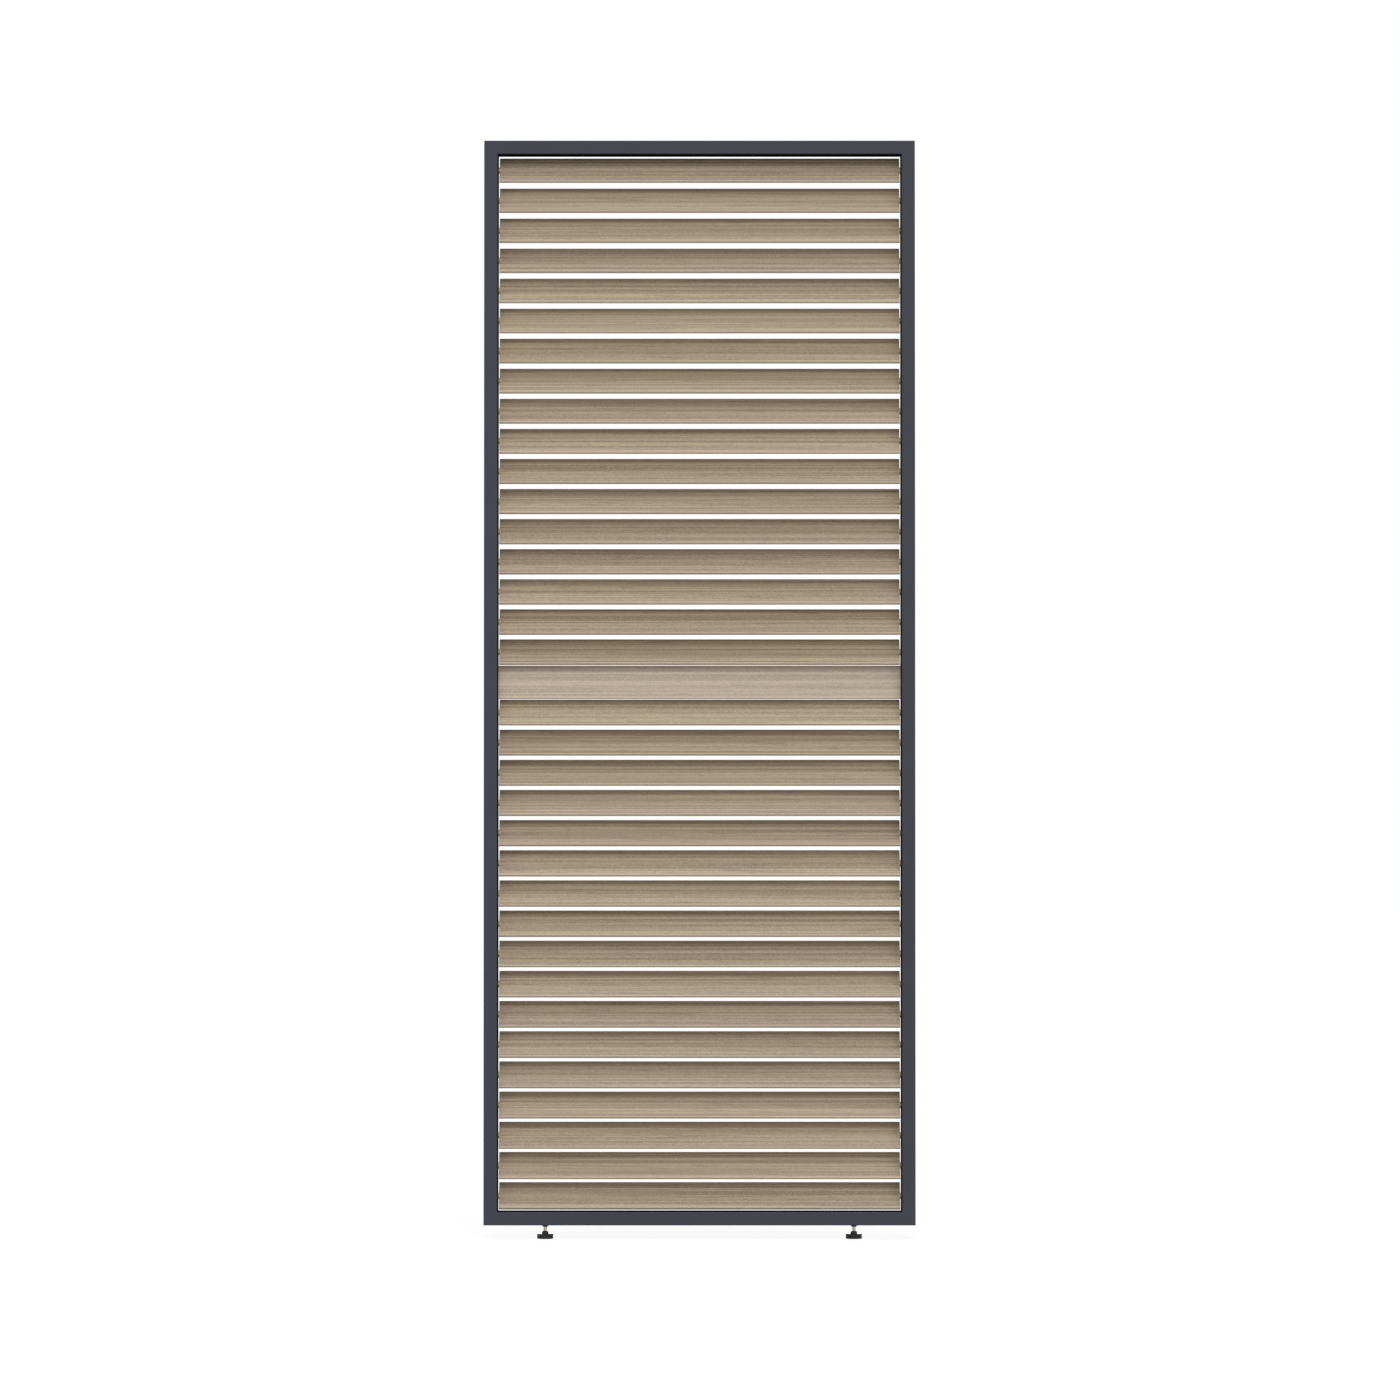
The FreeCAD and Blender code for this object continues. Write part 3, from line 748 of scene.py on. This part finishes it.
foot_centres = []
for side in ("left", "right"):
    body = f"{side}_foot"
    pad_low, pad_high = box_mm(f"{side}_foot_pad")
    stud_low, stud_high = box_mm(f"{side}_foot_stud")
    centre = (stud_low.x + stud_high.x) / 2
    foot_centres.append(centre)
    pad = pad_mesh(f"{side}_pad", centre, (pad_high.y - pad_low.y) / 2, pad_high.z)
    place(f"{side}_foot_pad_look", pad, body, f"{side}_foot_pad", "foot_plastic")
    stud_radius = (stud_high.x - stud_low.x) / 2
    stud = stud_mesh(f"{side}_stud", centre, stud_radius, stud_low.z, stud_high.z)
    place(f"{side}_foot_stud_look", stud, body, f"{side}_foot_stud", "stud_zinc")

nut_low, nut_high = box_mm("foot_lock_nuts")
maker = MeshMaker()
for centre in foot_centres:
    add_nut(maker, centre, nut_low.z, nut_high.z)
nuts = maker.mesh("lock_nuts", [NUT_BLACK])
place("foot_lock_nuts_look", nuts, "frame", "foot_lock_nuts", "lock_nut_black")


# Studio

def sees_background(tree):
    """1 for the rays that see the white background: the camera's own, and reflected or refracted ones."""
    path = add_node(tree, "ShaderNodeLightPath")
    seen = path.outputs["Is Camera Ray"]
    for ray in ("Is Glossy Ray", "Is Transmission Ray"):
        either = add_node(tree, "ShaderNodeMath", operation="MAXIMUM")
        tree.links.new(seen, either.inputs[0])
        tree.links.new(path.outputs[ray], either.inputs[1])
        seen = either.outputs[0]
    return seen


def studio_floor():
    """A pale floor that reads as white where it is seen and no shadow falls on it."""
    shader = Shader("floor")
    seen = sees_background(shader.tree)
    cloud = shader.noise(shader.position(), 0.8, detail=2.0)
    pale = shader.ramp(cloud, [(0.3, (0.58, 0.58, 0.58)), (0.7, (0.60, 0.60, 0.60))])
    # Most of the white that is seen is a glow, and the rest is lit and takes the shadow
    seen_grey = (0.16, 0.16, 0.16)
    seen_glow = (0.88, 0.88, 0.88, 1.0)
    shader.drive("Base Color", shader.mixed(seen, pale, seen_grey))
    shader.set(Roughness=0.9, Specular_IOR_Level=0.0)
    glow = shader.node("ShaderNodeEmission")
    glow.inputs["Color"].default_value = seen_glow
    shader.link(seen, glow.inputs["Strength"])
    both = shader.node("ShaderNodeAddShader")
    shader.link(shader.surface.outputs["BSDF"], both.inputs[0])
    shader.link(glow.outputs["Emission"], both.inputs[1])
    shader.link(both.outputs["Shader"], shader.tree.nodes["Material Output"].inputs["Surface"])

    sides = ((-1, -1), (1, -1), (1, 1), (-1, 1))
    corners = [(FLOOR_REACH * x, FLOOR_REACH * y, 0.0) for x, y in sides]
    mesh = bpy.data.meshes.new("floor")
    mesh.from_pydata(corners, [], [(0, 1, 2, 3)])
    mesh.materials.append(shader.material)
    floor = bpy.data.objects.new("floor", mesh)
    bpy.context.scene.collection.objects.link(floor)


def white_surroundings(front, sides):
    """White where it is seen; as a light on the panel it is softer, and weaker from the sides."""
    world = bpy.data.worlds.new("studio")
    bpy.context.scene.world = world
    world.use_nodes = True
    tree = world.node_tree

    direction = add_node(tree, "ShaderNodeSeparateXYZ")
    tree.links.new(add_node(tree, "ShaderNodeTexCoord").outputs["Generated"], direction.inputs[0])
    sideways = add_node(tree, "ShaderNodeMath", operation="ABSOLUTE")
    tree.links.new(direction.outputs["X"], sideways.inputs[0])
    soft = add_node(tree, "ShaderNodeMapRange")
    tree.links.new(sideways.outputs[0], soft.inputs["Value"])
    fade_start, fade_end = 0.35, 0.85
    soft.inputs["From Min"].default_value = fade_start
    soft.inputs["From Max"].default_value = fade_end
    soft.inputs["To Min"].default_value = front
    soft.inputs["To Max"].default_value = sides

    seen = sees_background(tree)
    level = add_node(tree, "ShaderNodeMapRange")
    tree.links.new(seen, level.inputs["Value"])
    tree.links.new(soft.outputs["Result"], level.inputs["To Min"])
    level.inputs["To Max"].default_value = 1.0

    background = tree.nodes["Background"]
    background.inputs["Color"].default_value = (1.0, 1.0, 1.0, 1.0)
    tree.links.new(level.outputs["Result"], background.inputs["Strength"])


def sun(name, towards, softness, strength):
    """A distant soft light; towards points from the panel to the light."""
    data = bpy.data.lights.new(name, "SUN")
    data.angle = math.radians(softness)
    data.energy = strength
    light = bpy.data.objects.new(name, data)
    bpy.context.scene.collection.objects.link(light)
    light.location = Vector(towards).normalized() * SUN_DISTANCE
    light.rotation_euler = Vector(towards).to_track_quat("Z", "Y").to_euler()


def photo_camera():
    """Camera well in front of the panel and below its middle, tipped up a little to frame it."""
    data = bpy.data.cameras.new("camera")
    data.sensor_width = SENSOR_WIDTH
    data.lens = LENS
    camera = bpy.data.objects.new("camera", data)
    bpy.context.scene.collection.objects.link(camera)
    camera.location = CAMERA_PLACE
    camera.rotation_euler = (math.radians(90.0 + CAMERA_TIP), 0.0, 0.0)
    bpy.context.scene.camera = camera


studio_floor()
white_surroundings(front=0.58, sides=0.15)
sun("key", towards=(0.0, -1.0, 0.60), softness=22.0, strength=0.88)
sun("right_side", towards=(0.70, -1.0, 0.66), softness=14.0, strength=0.38)
sun("front_fill", towards=(0.10, -1.0, 0.10), softness=24.0, strength=0.48)
sun("overhead", towards=(0.0, -0.30, 1.0), softness=40.0, strength=0.60)
sun("back_fill", towards=(0.0, 1.0, 0.30), softness=30.0, strength=0.50)
photo_camera()
bpy.context.scene.view_settings.view_transform = "Standard"
